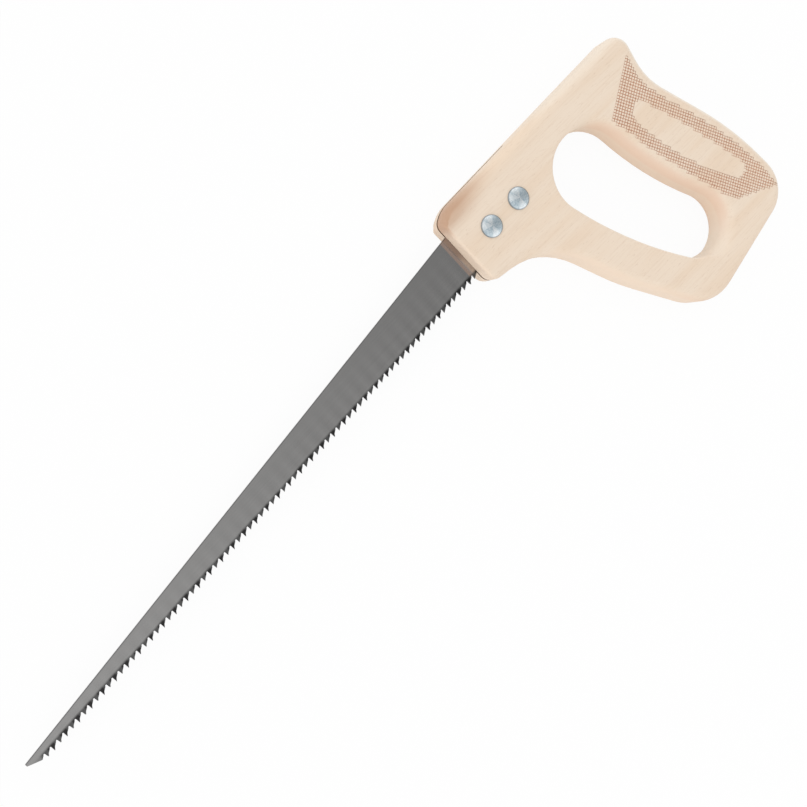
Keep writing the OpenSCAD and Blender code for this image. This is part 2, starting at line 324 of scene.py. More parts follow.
def merged_copy(node: str, name: str) -> Piece:
    """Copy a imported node's mesh into a new piece, with its loose triangles merged.

    Args:
        node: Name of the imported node.
        name: Name of the new piece.

    Returns:
        The new piece, without materials.
    """
    piece = bpy.data.objects.new(name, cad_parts[node].data.copy())
    bpy.context.scene.collection.objects.link(piece)
    piece.data.name = name
    piece.data.materials.clear()
    select_only(piece)
    bpy.ops.mesh.customdata_custom_splitnormals_clear()
    weld(piece, outward=False)
    return piece


def moved_copy(piece: Piece, name: str, step: Vector) -> Piece:
    """Copy a finished piece, with a mesh of its own, to another place.

    Args:
        piece: The piece to copy.
        name: Name of the copy.
        step: The way from the piece to its copy, in metres.

    Returns:
        The copy.
    """
    select_only(piece)
    bpy.ops.object.duplicate(linked=False)
    bpy.ops.transform.translate(value=step)
    return fresh_piece(name)


def hand_over(piece: Piece, node: str, finish: Material) -> None:
    """Give a finished piece its material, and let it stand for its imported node.

    Args:
        piece: The finished piece.
        node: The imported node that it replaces.
        finish: The material of its whole surface.
    """
    piece.data.materials.clear()
    piece.data.materials.append(finish)
    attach(piece, BODY)
    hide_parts(node)
    log.info("%s: %d faces stand for %s", piece.name, len(piece.data.polygons), node)


@dataclass(frozen=True)
class Ramp:
    """A smooth change from a first value at its start to a last value at its end."""

    start: float
    end: float
    first: float = 0.0
    last: float = 1.0

    def in_metres(self) -> "Ramp":
        """The same change with its ends turned from millimetres into metres."""
        return replace(self, start=self.start * MM, end=self.end * MM)

    def along_saw(self, origin: float = 0.0) -> "Ramp":
        """The same change with its ends as places along the saw, counted from an origin."""
        start, end = (on_saw(origin + x, 0.0).x for x in (self.start, self.end))
        return replace(self, start=start, end=end)


@dataclass(frozen=True)
class Grain:
    """How often streaks change per metre along and across their run, and their detail."""

    along: float
    across: float
    detail: float


@dataclass(frozen=True)
class Mottle:
    """How often soft clouds change per metre, and their lowest and highest value."""

    scale: float
    low: float = 0.0
    high: float = 1.0


class NodeSheet:
    """A node tree being filled, with short ways to add and wire its nodes."""

    STEP_X, STEP_Y, ROWS = 180, 160, 5

    def __init__(self, tree: Tree) -> None:
        """Keep the tree and start at its left edge."""
        self.tree = tree
        self.column = 0

    def add(self, kind: str, **settings: object) -> Node:
        """Add a node and set its own properties.

        Args:
            kind: Blender's type name of the node.
            settings: Property values of the node.

        Returns:
            The new node.
        """
        node = self.tree.nodes.new(kind)
        node.location = (self.column * self.STEP_X, -(self.column % self.ROWS) * self.STEP_Y)
        self.column += 1
        for name, value in settings.items():
            setattr(node, name, value)
        return node

    def feed(self, socket: Socket, value: object) -> None:
        """Wire another socket into a socket, or set its constant value.

        Args:
            socket: The input to feed.
            value: The socket or constant that it takes.
        """
        if isinstance(value, Socket):
            self.tree.links.new(value, socket)
        else:
            socket.default_value = value

    def feed_all(self, node: Node, **values: object) -> Node:
        """Feed a node's inputs by name.

        Args:
            node: The node to feed.
            values: Input names, with underscores for spaces, and their sockets or constants.

        Returns:
            The same node.
        """
        for name, value in values.items():
            self.feed(node.inputs[name.replace("_", " ")], value)
        return node

    def math(self, operation: str, *values: object, clamp: bool = False) -> Socket:
        """Add a math node.

        Args:
            operation: Blender's name of the operation.
            values: Its sockets or numbers.
            clamp: Whether the result is kept from 0 to 1.

        Returns:
            The result's socket.
        """
        node = self.add("ShaderNodeMath", operation=operation, use_clamp=clamp)
        for socket, value in zip(node.inputs, values):
            self.feed(socket, value)
        return node.outputs[0]

    def hypot(self, *sides: Socket) -> Socket:
        """Length of the long side over two short ones."""
        return self.math("SQRT", self.math("ADD", *(self.math("POWER", a, 2.0) for a in sides)))

    def split(self, vector: Socket) -> Split:
        """Split a vector into sockets by the names of its axes."""
        node = self.feed_all(self.add("ShaderNodeSeparateXYZ"), Vector=vector)
        return {axis: node.outputs[axis] for axis in "XYZ"}

    def mapped(self, place: Socket, **setting: object) -> Socket:
        """Move or turn a place before a pattern reads it."""
        return self.feed_all(self.add("ShaderNodeMapping"), Vector=place, **setting).outputs[0]

    def remap(self, value: Socket, ramp: Ramp) -> Socket:
        """Change a value by a ramp.

        Args:
            value: The socket to read.
            ramp: The ramp that it runs through.

        Returns:
            The result's socket.
        """
        node = self.add("ShaderNodeMapRange", interpolation_type="SMOOTHSTEP")
        return self.feed_all(node, Value=value, From_Min=ramp.start, From_Max=ramp.end,
                             To_Min=ramp.first, To_Max=ramp.last).outputs["Result"]

    def mix(self, share: Socket, first: object, second: object) -> Socket:
        """Mix two numbers by the share of the second."""
        node = self.add("ShaderNodeMix", data_type="FLOAT")
        return self.feed_all(node, Factor=share, A=first, B=second).outputs["Result"]

    def blend(self, share: Socket, first: Socket | Color, second: Socket | Color) -> Socket:
        """Blend two colours by a share.

        Args:
            share: How much of the second colour shows.
            first: Socket or colour underneath.
            second: Socket or colour on top.

        Returns:
            The blended colour's socket.
        """
        node = self.add("ShaderNodeMix", data_type="RGBA")
        under, over = ((*c, 1.0) if isinstance(c, tuple) else c for c in (first, second))
        return self.feed_all(node, Factor=share, A=under, B=over).outputs["Result"]

    def group(self, tree: Tree, place: Socket, run: Grain | Mottle) -> Socket:
        """Add a node group that reads a place.

        Args:
            tree: The group's tree.
            place: Socket of the place on the piece.
            run: The numbers that it takes by their names.

        Returns:
            The output's socket.
        """
        node = self.add("ShaderNodeGroup", node_tree=tree)
        numbers = {name.capitalize(): number for name, number in asdict(run).items()}
        return self.feed_all(node, Place=place, **numbers).outputs[0]


class MaterialSheet(NodeSheet):
    """The sheet of a new material, with its shader."""

    def __init__(self, name: str) -> None:
        """Create the material.

        Args:
            name: Name of the material.
        """
        self.material = bpy.data.materials.new(name)
        self.material.use_nodes = True
        super().__init__(self.material.node_tree)
        self.shader = self.tree.nodes["Principled BSDF"]

    @cached_property
    def place(self) -> Socket:
        """Place on the piece, in metres."""
        return self.add("ShaderNodeTexCoord").outputs["Object"]

    @cached_property
    def at(self) -> Split:
        """The place on the piece by its axes."""
        return self.split(self.place)

    @cached_property
    def facing(self) -> Split:
        """The surface's direction by its axes."""
        return self.split(self.add("ShaderNodeNewGeometry").outputs["Normal"])

    @cached_property
    def upright(self) -> Socket:
        """One on faces that lie flat, as the cheeks do, and zero on side walls."""
        return self.math("ABSOLUTE", self.facing["Z"])

    def shade(self, **values: object) -> None:
        """Feed the shader's inputs by name."""
        self.feed_all(self.shader, **values)

    def bump(self, height: Socket, distance: float, strength: float) -> None:
        """Raise the surface by a height map.

        Args:
            height: Socket of the height, from 0 to 1.
            distance: Height of the full map, in millimetres.
            strength: Share of the effect.
        """
        node = self.feed_all(self.add("ShaderNodeBump"), Strength=strength,
                             Distance=distance * MM, Height=height)
        self.shade(Normal=node.outputs["Normal"])


class SurfaceGroups:
    """Shader node groups that several finishes share, each built once."""

    STREAK_ROUGHNESS = 0.55
    MOTTLE_DETAIL = 3.0
    MOTTLE_RISE = Ramp(0.3, 0.7)

    def __init__(self) -> None:
        """Build the groups."""
        self.streaks = self._streaks()
        self.mottle = self._mottle()

    @staticmethod
    def _open(name: str, inputs: Sequence[str], output: str) -> tuple[NodeSheet, Split]:
        """Start a group that reads a place and numbers and puts out one value.

        Args:
            name: Name of the group.
            inputs: Names of its number inputs.
            output: Name of its output.

        Returns:
            The sheet to draw on, and the input sockets by name.
        """
        tree = bpy.data.node_groups.new(name, "ShaderNodeTree")
        tree.interface.new_socket("Place", in_out="INPUT", socket_type="NodeSocketVector")
        for label in inputs:
            tree.interface.new_socket(label, in_out="INPUT", socket_type="NodeSocketFloat")
        tree.interface.new_socket(output, in_out="OUTPUT", socket_type="NodeSocketFloat")
        sheet = NodeSheet(tree)
        entry = sheet.add("NodeGroupInput")
        return sheet, {socket.name: socket for socket in entry.outputs if socket.name}

    @staticmethod
    def _close(sheet: NodeSheet, result: Socket) -> Tree:
        """Wire the result to the group's output and return its tree."""
        sheet.feed(sheet.add("NodeGroupOutput").inputs[0], result)
        return sheet.tree

    def _streaks(self) -> Tree:
        """Build noise drawn out along X, for wood fibres and grinding lines.

        Returns:
            The group's tree.
        """
        sheet, given = self._open("streaks_along_x", ("Along", "Across", "Detail"), "Streak")
        at = sheet.split(given["Place"])
        scales = {"X": given["Along"], "Y": given["Across"], "Z": given["Across"]}
        drawn = {axis: sheet.math("MULTIPLY", at[axis], scales[axis]) for axis in "XYZ"}
        place = sheet.feed_all(sheet.add("ShaderNodeCombineXYZ"), **drawn).outputs[0]
        noise = sheet.feed_all(sheet.add("ShaderNodeTexNoise"), Vector=place, Scale=1.0,
                               Detail=given["Detail"], Roughness=self.STREAK_ROUGHNESS)
        return self._close(sheet, noise.outputs["Fac"])

    def _mottle(self) -> Tree:
        """Build soft cloudy unevenness between two values.

        Returns:
            The group's tree.
        """
        sheet, given = self._open("soft_mottle", ("Scale", "Low", "High"), "Value")
        noise = sheet.feed_all(sheet.add("ShaderNodeTexNoise"), Vector=given["Place"],
                               Scale=given["Scale"], Detail=self.MOTTLE_DETAIL)
        share = sheet.remap(noise.outputs["Fac"], self.MOTTLE_RISE)
        span = sheet.math("SUBTRACT", given["High"], given["Low"])
        return self._close(sheet, sheet.math("MULTIPLY_ADD", share, span, given["Low"]))


@dataclass(frozen=True)
class BeechFinish:
    """Pale sanded beech: fibres along the spine, ray flecks, toasted checkering grooves, and
    painted shade and light on its sides, nose and kerf.
    """

    pale: Color = (0.825, 0.695, 0.565)
    warm: Color = (0.80, 0.645, 0.50)
    fibre: Color = (0.70, 0.54, 0.40)
    fleck: Color = (0.55, 0.385, 0.265)
    # Painted shade on faces towards the blade, over end grain and deeper in the grip, and painted
    # light on faces towards the palm and the grip's back.
    end_grain: Color = (0.83, 0.67, 0.53)
    finger_side: Color = (0.785, 0.58, 0.445)
    palm_side: Color = (0.85, 0.79, 0.70)
    toasted: Color = (0.46, 0.17, 0.07)
    # Painted shade on the roundover at the spine's front corner, and weaker on the cheek nearby.
    scorched: Color = (0.47, 0.27, 0.165)
    # Painted shade inside the kerf.
    sawn: Color = (0.16, 0.09, 0.05)
    grain_turn: Triple = (0.05, 0.03, math.radians(2.0))
    broad_grain: Grain = Grain(9.0, 95.0, 2.0)
    fibre_grain: Grain = Grain(55.0, 1150.0, 4.0)
    ray_grain: Grain = Grain(330.0, 1900.0, 1.0)
    broad_share: Ramp = Ramp(0.35, 0.68)
    fibre_share: Ramp = Ramp(0.45, 0.75, 0.0, 0.34)
    fleck_share: Ramp = Ramp(0.64, 0.72, 0.0, 0.24)
    cloud: Mottle = Mottle(28.0, 0.0, 0.18)
    grip_from: Ramp = Ramp(60.0, 85.0)
    roundover: Ramp = Ramp(0.0, 0.25, 0.35, 1.0)
    # Facings that take the painted shade and painted light of the sides.
    facing_blade: Ramp = Ramp(-0.3, -0.8, 0.0, 0.85)
    facing_palm: Ramp = Ramp(0.3, 0.8, 0.0, 0.85)
    facing_back: Ramp = Ramp(0.1, 0.9, 0.0, 0.38)
    # Where the painted shade at the nose lies and how it fades.
    scorch_place: Point = (4.0, -3.5)
    scorch_reach: Point = (40.0, 11.0)
    scorch_fade: Ramp = Ramp(0.15, 1.0, 0.85, 0.0)
    scorch_below: float = 0.25
    scorch_cheek: Ramp = Ramp(0.75, 0.998)
    scorch_clear: Ramp = Ramp(0.1, 0.9, 0.35, 0.80)
    kerf_half: Ramp = Ramp(0.72, 0.80, 1.0, 0.0)
    kerf_wall: Ramp = Ramp(0.6, 0.9)
    toast: Mottle = Mottle(420.0, 0.7)
    toast_share: Ramp = Ramp(0.15, 0.9)
    roughness: Ramp = Ramp(0.3, 0.7, 0.46, 0.60)
    specular: float = 0.35
    fleck_sink: float = 0.6
    relief: float = 0.05
    relief_strength: float = 0.25

    def make(self, groups: SurfaceGroups) -> Material:
        """Build the material.

        Args:
            groups: The shared node groups.

        Returns:
            The beech material.
        """
        sheet = MaterialSheet("beech")
        grain = sheet.mapped(sheet.place, Rotation=self.grain_turn)
        broad, fibres, rays = (sheet.group(groups.streaks, grain, run) for run in
                               (self.broad_grain, self.fibre_grain, self.ray_grain))
        cloud, uneven = (sheet.group(groups.mottle, sheet.place, run) for run in
                         (self.cloud, self.toast))
        flecks = sheet.remap(rays, self.fleck_share)
        color = sheet.blend(sheet.remap(broad, self.broad_share), self.pale, self.warm)
        color = sheet.blend(cloud, color, self.warm)
        color = sheet.blend(sheet.remap(fibres, self.fibre_share), color, self.fibre)
        color = sheet.blend(flecks, color, self.fleck)
        color = self._sides(sheet, color)
        # Painted shade at the spine's front corner.
        color = sheet.blend(self._scorch(sheet), color, self.scorched)
        # Painted shade inside the kerf.
        color = sheet.blend(self._kerf(sheet), color, self.sawn)
        groove = sheet.add("ShaderNodeAttribute", attribute_name="groove").outputs["Fac"]
        toast = sheet.math("MULTIPLY", sheet.remap(groove, self.toast_share), uneven)
        sheet.shade(Base_Color=sheet.blend(toast, color, self.toasted),
                    Roughness=sheet.remap(fibres, self.roughness),
                    Specular_IOR_Level=self.specular)
        sunk = sheet.math("MULTIPLY", flecks, self.fleck_sink)
        sheet.bump(sheet.math("SUBTRACT", fibres, sunk), self.relief, self.relief_strength)
        return sheet.material

    def _sides(self, sheet: MaterialSheet, color: Socket) -> Socket:
        """Paint shade and light by facing: painted shade towards the blade, over end grain and
        deeper in the grip, and painted light towards the palm.

        Args:
            sheet: The material's sheet.
            color: Socket of the colour so far.

        Returns:
            The colour's socket.
        """
        grip = sheet.remap(sheet.at["X"], self.grip_from.along_saw())
        finger_shade = sheet.math("MULTIPLY", grip, sheet.remap(sheet.upright, self.roundover))
        tone = sheet.blend(finger_shade, self.end_grain, self.finger_side)
        color = sheet.blend(sheet.remap(sheet.facing["X"], self.facing_blade), color, tone)
        backs = sheet.math("MULTIPLY", grip, sheet.remap(sheet.facing["Y"], self.facing_back))
        palm = sheet.math("MAXIMUM", backs, sheet.remap(sheet.facing["X"], self.facing_palm))
        return sheet.blend(palm, color, self.palm_side)

    def _scorch(self, sheet: MaterialSheet) -> Socket:
        """Mask the painted shade on the roundover at the spine's front corner, weaker below the
        middle and on the flat cheek nearby.

        Args:
            sheet: The material's sheet.

        Returns:
            The mask's socket.
        """
        middles = on_saw(*self.scorch_place)
        away = sheet.hypot(*(
            sheet.math("DIVIDE", sheet.math("SUBTRACT", sheet.at[axis], middle), reach * MM)
            for axis, middle, reach in zip("XY", middles, self.scorch_reach)))
        upper = sheet.remap(sheet.at["Z"], Ramp(MID_Z, MID_Z + MM, self.scorch_below))
        close = sheet.math("MULTIPLY", sheet.remap(away, self.scorch_fade), upper)
        flat = sheet.math("MULTIPLY", sheet.remap(sheet.upright, self.scorch_cheek),
                          sheet.remap(away, self.scorch_clear))
        return sheet.math("MULTIPLY", close, sheet.math("SUBTRACT", 1.0, flat))

    def _kerf(self, sheet: MaterialSheet) -> Socket:
        """Mask the walls inside the kerf, painted near black as shade.

        Args:
            sheet: The material's sheet.

        Returns:
            The mask's socket.
        """
        off_middle = sheet.math("ABSOLUTE", sheet.math("SUBTRACT", sheet.at["Z"], MID_Z))
        inside = sheet.remap(off_middle, self.kerf_half.in_metres())
        return sheet.math("MULTIPLY", inside, sheet.remap(sheet.upright, self.kerf_wall))


@dataclass(frozen=True)
class SawSteelFinish:
    """Ground grey spring steel with lines along the blade, a painted dark reflection over the
    teeth, painted shade along the back and a painted reflection of the handle.
    """

    steel: Color = (0.383, 0.378, 0.373)
    light_steel: Color = (0.402, 0.397, 0.392)
    # Painted dark reflection over the teeth, and painted shade along the back edge.
    blackened: Color = (0.022, 0.021, 0.022)
    # Painted light on every second tooth, standing for the light on its bevel.
    filed: Color = (0.10, 0.10, 0.10)
    # Painted reflection of the handle's front face on the blade beside it.
    stained: Color = (0.52, 0.455, 0.415)
    stained_back: Color = (0.34, 0.265, 0.235)
    stained_rim: Color = (0.66, 0.48, 0.39)
    line_grain: Grain = Grain(22.0, 2600.0, 3.0)
    line_share: Ramp = Ramp(0.3, 0.7)
    cloud: Mottle = Mottle(45.0)
    band: Ramp = Ramp(2.4, 3.8, 0.93, 0.0)
    band_ragged: float = 0.5
    nose_bare: Ramp = Ramp(-2.8, -1.0, 0.3, 1.0)
    # Reach of the painted reflection beside the handle.
    stain_turn: Ramp = Ramp(15.5, 8.5)
    stain_from: Ramp = Ramp(-4.7, -4.2, 0.0, 0.8)
    rim_from: Ramp = Ramp(-3.3, -2.5)
    # Painted shade along the back edge.
    back_line: Ramp = Ramp(-0.15, -0.45, 0.6, 0.0)
    filed_share: Ramp = Ramp(-0.3, 0.3)
    roughness: Ramp = Ramp(0.3, 0.7, 0.11, 0.15)
    cloud_rough: float = 0.06
    band_rough: float = 0.12
    relief: float = 0.01
    relief_strength: float = 0.25

    def make(self, groups: SurfaceGroups, blade: "SawBlade") -> Material:
        """Build the material.

        Args:
            groups: The shared node groups.
            blade: The blade whose edges the dark bands follow.

        Returns:
            The steel material.
        """
        sheet = MaterialSheet("saw_steel")
        lines = sheet.group(groups.streaks, sheet.place, self.line_grain)
        cloud = sheet.group(groups.mottle, sheet.place, self.cloud)
        rise = self._above(sheet, blade.tip_y)
        color = sheet.blend(sheet.remap(lines, self.line_share), self.steel, self.light_steel)
        # Painted reflection of the handle beside it.
        color = self._stain(sheet, rise, color)
        # Painted shade: a dark line along the back edge.
        back = sheet.remap(self._above(sheet, blade.back_y), self.back_line.in_metres())
        color = sheet.blend(back, color, self.blackened)
        # Painted dark reflection: a ragged dark band over the teeth, bare at the nose.
        ragged = sheet.math("MULTIPLY_ADD", sheet.math("SUBTRACT", cloud, 0.5),
                            self.band_ragged * MM, rise)
        nose = sheet.remap(sheet.at["X"], self.nose_bare.along_saw(blade.first_tip))
        band = sheet.math("MULTIPLY", sheet.remap(ragged, self.band.in_metres()), nose)
        rough = sheet.math("MULTIPLY_ADD", cloud, self.cloud_rough,
                           sheet.remap(lines, self.roughness))
        sheet.shade(Base_Color=sheet.blend(band, color, self._teeth(sheet, blade)),
                    Roughness=sheet.math("MULTIPLY_ADD", band, self.band_rough, rough),
                    Metallic=1.0)
        sheet.bump(lines, self.relief, self.relief_strength)
        return sheet.material

    @staticmethod
    def _above(sheet: MaterialSheet, edge: Callable[[float], float]) -> Socket:
        """Measure how far a place lies above a straight edge of the blade.

        Args:
            sheet: The material's sheet.
            edge: Height of the edge by the place along the blade.

        Returns:
            The socket of the height, in metres.
        """
        start = on_saw(0.0, edge(0.0))
        slope = edge(1.0) - edge(0.0)
        line = sheet.math("MULTIPLY_ADD", sheet.at["X"], slope, start.y - slope * start.x)
        return sheet.math("SUBTRACT", sheet.at["Y"], line)

    def _stain(self, sheet: MaterialSheet, rise: Socket, color: Socket) -> Socket:
        """Paint a brown reflection of the handle's front face on the blade beside the handle, with
        a lighter rim.

        Args:
            sheet: The material's sheet.
            rise: Socket of the height above the tooth line.
            color: Socket of the colour so far.

        Returns:
            The colour's socket.
        """
        turned = sheet.remap(rise, self.stain_turn.in_metres())
        rim, near = (sheet.remap(sheet.at["X"], ramp.along_saw()) for ramp in
                     (self.rim_from, self.stain_from))
        brown = sheet.blend(turned, self.stained_back, self.stained)
        return sheet.blend(near, color, sheet.blend(rim, self.stained_rim, brown))

    def _teeth(self, sheet: MaterialSheet, blade: "SawBlade") -> Socket:
        """Colour the teeth in turn: each has a filing on one side alone, and every second tooth
        gets painted light for its bevel.

        Args:
            sheet: The material's sheet.
            blade: The blade whose teeth are counted.

        Returns:
            The colour's socket.
        """
        turn = math.pi / (blade.pitch * MM)
        start = math.pi / 2 - turn * on_saw(blade.first_tip, 0.0).x
        wave = sheet.math("SINE", sheet.math("MULTIPLY_ADD", sheet.at["X"], turn, start))
        return sheet.blend(sheet.remap(wave, self.filed_share), self.blackened, self.filed)


@dataclass(frozen=True)
class ZincFinish:
    """Bluish bright zinc on turned steel: fine rings, a mottled coat, fan-shaped painted highlights
    and painted shade at the edge.
    """

    bright: Color = (0.93, 0.98, 1.0)
    dull: Color = (0.42, 0.54, 0.61)
    # Painted shade round the outer edge of head and nut, where they meet the wood.
    grime: Color = (0.24, 0.26, 0.28)
    cloud: Mottle = Mottle(1300.0, 0.0, 0.45)
    haze: Mottle = Mottle(4.0, 0.0, 0.18)
    # Painted highlights: bright fan-shaped patches along these headings from the axis.
    fans: Sequence[Point] = ((0.29, 0.96), (-0.29, -0.96), (-0.70, 0.71))
    fan_width: Ramp = Ramp(0.80, 0.99, 0.0, 0.60)
    grimy_from: Ramp = Ramp(4.85, 5.4, 0.0, 0.8)
    roughness: float = 0.52
    plating_gloss: float = -0.10
    ring_pitch: float = 0.28
    ring_depth: float = 0.012
    ring_strength: float = 0.9

    def make(self, groups: SurfaceGroups, name: str, centre: Vector) -> Material:
        """Build the material for one bolt and its nut.

        Args:
            groups: The shared node groups.
            name: Name of the material.
            centre: A point on the bolt's axis.

        Returns:
            The zinc material.
        """
        sheet = MaterialSheet(name)
        off = sheet.split(sheet.mapped(sheet.place, Location=-centre))
        radius = sheet.hypot(off["X"], off["Y"])
        cloud = sheet.group(groups.mottle, sheet.place, self.cloud)
        # Mottled coat plus painted highlights.
        plating_and_highlight = sheet.math("ADD", cloud, self._fans(sheet, off, groups), clamp=True)
        color = sheet.blend(plating_and_highlight, self.dull, self.bright)
        # Painted shade round the outer edge.
        edge_shade_mask = sheet.remap(radius, self.grimy_from.in_metres())
        rough = sheet.math("MULTIPLY_ADD", plating_and_highlight, self.plating_gloss, self.roughness)
        sheet.shade(Base_Color=sheet.blend(edge_shade_mask, color, self.grime), Roughness=rough, Metallic=1.0)
        turn = 2 * math.pi / (self.ring_pitch * MM)
        wave = sheet.math("SINE", sheet.math("MULTIPLY", radius, turn))
        sheet.bump(sheet.math("MULTIPLY_ADD", wave, 0.5, 0.5), self.ring_depth, self.ring_strength)
        return sheet.material

    def _fans(self, sheet: NodeSheet, off: Split, groups: SurfaceGroups) -> Socket:
        """Spread fan-shaped painted highlights out from the bolt's axis, uneven in strength.

        Args:
            sheet: The material's sheet.
            off: The way from the bolt's axis by the frame's axes.
            groups: The shared node groups.

        Returns:
            The socket of their strength.
        """
        flat = sheet.feed_all(sheet.add("ShaderNodeCombineXYZ"), X=off["X"], Y=off["Y"])
        out = sheet.add("ShaderNodeVectorMath", operation="NORMALIZE")
        sheet.feed(out.inputs[0], flat.outputs[0])
        strength = sheet.group(groups.mottle, out.outputs["Vector"], self.haze)
        for heading in self.fans:
            towards = sheet.add("ShaderNodeVectorMath", operation="DOT_PRODUCT")
            sheet.feed(towards.inputs[0], out.outputs["Vector"])
            sheet.feed(towards.inputs[1], (*heading, 0.0))
            fan = sheet.remap(towards.outputs["Value"], self.fan_width)
            strength = sheet.math("MAXIMUM", strength, fan)
        return strength


@dataclass
class CheckeredPanel:
    """Pressed checkering of one cheek: rows of small squares round a bare round-ended plate."""

    pitch: float = 1.45
    turn_deg: float = 31.5
    groove_half: float = 0.30
    groove_depth: float = 0.32
    clearance: float = 0.25
    middle: Point = (125.0, -63.0)
    cells: tuple[int, int] = (44, 88)
    trim_rounds: int = 4
    off_grid: float = 0.1
    outline: Sequence[Point] = (
        (129.4, -10.6), (100.6, -29.0), (104.3, -40.4), (107.1, -53.4), (111.0, -65.0),
        (115.2, -76.8), (124.0, -100.8), (126.2, -104.2), (149.4, -115.4), (149.6, -108.0),
        (148.7, -99.8), (147.5, -91.7), (145.5, -81.7), (142.2, -69.9), (138.7, -60.3),
        (129.5, -37.2), (127.4, -29.5), (127.0, -23.6), (127.7, -17.3),
    )
    plate: Sequence[Point] = (
        (118.3, -30.9), (120.4, -33.0), (122.3, -37.6), (124.7, -43.6), (127.4, -49.6),
        (130.0, -56.0), (132.4, -63.0), (134.8, -70.0), (136.9, -76.8), (139.0, -83.0),
        (140.9, -88.8), (142.1, -93.2), (141.6, -95.8), (139.6, -97.8), (136.4, -98.2),
        (133.0, -96.4), (129.4, -91.0), (126.0, -84.6), (122.7, -78.0), (119.8, -71.6),
        (117.4, -65.5), (115.6, -60.6), (114.1, -55.6), (112.9, -51.2), (111.9, -46.8),
        (111.0, -42.8), (110.4, -38.9), (110.9, -35.4), (112.8, -32.9), (115.5, -31.3),
    )

    @staticmethod
    def _inside(points: np.ndarray, outline: Sequence[Point]) -> np.ndarray:
        """Find the points that lie inside an outline.

        Args:
            points: The points as rows.
            outline: The corners of the outline in order.

        Returns:
            Whether each point is inside.
        """
        inside = np.zeros(len(points), bool)
        loop = np.array(outline)
        for a, b in zip(loop, np.roll(loop, -1, axis=0)):
            crosses = (a[1] > points[:, 1]) != (b[1] > points[:, 1])
            reach = a[0] + (points[:, 1] - a[1]) / (b[1] - a[1] + 1e-12) * (b[0] - a[0])
            inside ^= crosses & (points[:, 0] < reach)
        return inside

    def _grid_places(self, piece: Piece) -> np.ndarray:
        """Count where vertices lie along the rows and columns of the checkering.

        Args:
            piece: The piece to read.

        Returns:
            The column and row of each vertex, in squares.
        """
        flat = saw_places(piece)[:, :2] - np.array(self.middle)
        turn = math.radians(self.turn_deg)
        across = np.array([[math.cos(turn), -math.sin(turn)], [math.sin(turn), math.cos(turn)]])
        return flat @ across / self.pitch + np.array(self.cells) / 2

    def cutter(self, cheek: Cheek, body: Piece) -> Piece:
        """Model the net of grooves that is cut into one cheek.

        Args:
            cheek: The cheek that it is cut into.
            body: The smooth handle, whose skin the net follows.

        Returns:
            The closed net, as deep below the skin as the grooves.
        """
        columns, rows = self.cells
        deselect()
        bpy.ops.mesh.primitive_grid_add(
            x_subdivisions=columns, y_subdivisions=rows, size=1.0,
            location=on_saw(*self.middle, cheek.level + cheek.value * MM),
            rotation=(0.0, 0.0, math.radians(self.turn_deg)))
        net = fresh_piece(f"checkering_{cheek.name.lower()}",
                          (columns * self.pitch * MM, rows * self.pitch * MM, 1.0))
        self._trim(net)
        apply_modifier(net, "SHRINKWRAP", target=body, wrap_method="PROJECT", use_project_z=True,
                       use_negative_direction=True, use_positive_direction=True)
        self._hollow(net, cheek)
        return net

    def _trim(self, net: Piece) -> None:
        """Delete the squares that don't belong to the panel or touch it only at a corner.

        Args:
            net: The flat grid.
        """
        faces = np.array([face.vertices[:] for face in net.data.polygons])
        centres = saw_places(net)[:, :2][faces].mean(axis=1)
        columns, rows = np.floor(self._grid_places(net)[faces].mean(axis=1)).astype(int).T
        board = np.zeros(self.cells, bool)
        board[columns, rows] = (self._inside(centres, self.outline)
                                & ~self._inside(centres, self.plate))
        for _ in range(self.trim_rounds):
            a, b, c, d = board[:-1, :-1], board[1:, 1:], board[1:, :-1], board[:-1, 1:]
            a &= ~(a & b & ~c & ~d)
            c &= ~(c & d & ~a & ~b)
        pick(net, Element.FACE, ~board[columns, rows])
        bpy.ops.mesh.delete(type="FACE")
        object_mode()

    def _hollow(self, net: Piece, cheek: Cheek) -> None:
        """Open each square of the sheet, and make a closed net of V-shaped grooves of the rest.

        Args:
            net: The trimmed sheet on the handle's skin.
            cheek: The cheek that it lies on.
        """
        deep = cheek.value * self.groove_depth * MM
        pick_all(net)
        bpy.ops.mesh.inset(use_individual=True, thickness=self.groove_half * MM, depth=0.0)
        bpy.ops.mesh.delete(type="ONLY_FACE")
        bpy.ops.mesh.select_all(action="SELECT")
        bpy.ops.mesh.extrude_region()
        bpy.ops.transform.translate(value=(0.0, 0.0, deep + cheek.value * self.clearance * MM))
        object_mode()
        upper = np.array([vertex.select for vertex in net.data.vertices], bool)
        places = self._grid_places(net)
        square = (np.abs(places - np.round(places)) > self.off_grid).all(axis=1)
        pick(net, Element.VERTEX, square & ~upper)
        bpy.ops.transform.translate(value=(0.0, 0.0, deep))
        bpy.ops.mesh.select_all(action="SELECT")
        bpy.ops.transform.translate(value=(0.0, 0.0, -deep))
        bpy.ops.mesh.normals_make_consistent(inside=False)
        object_mode()


@dataclass
class BeechHandle:
    """The closed handle, with checkering pressed into the grip on both cheeks."""

    panel: CheckeredPanel = field(default_factory=CheckeredPanel)
    smooth_deg: float = 35.0

    def build(self) -> Piece:
        """Model the handle.

        Returns:
            The finished handle.
        """
        body = merged_copy("handle", "handle_beech")
        for net in [self.panel.cutter(cheek, body) for cheek in Cheek]:
            cut_away(body, net)
        self._mark_grooves(body)
        smooth_skin(body, self.smooth_deg)
        return body

    def _mark_grooves(self, body: Piece) -> None:
        """Keep each point's depth below the smooth skin as an attribute for the finish.

        Args:
            body: The handle with its grooves.
        """
        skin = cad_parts["handle"]
        depth = [(skin.closest_point_on_mesh(v.co)[1] - v.co).length for v in body.data.vertices]
        share = np.array(depth) / (self.panel.groove_depth * MM)
        body.data.attributes.new("groove", "FLOAT", "POINT").data.foreach_set("value", share)


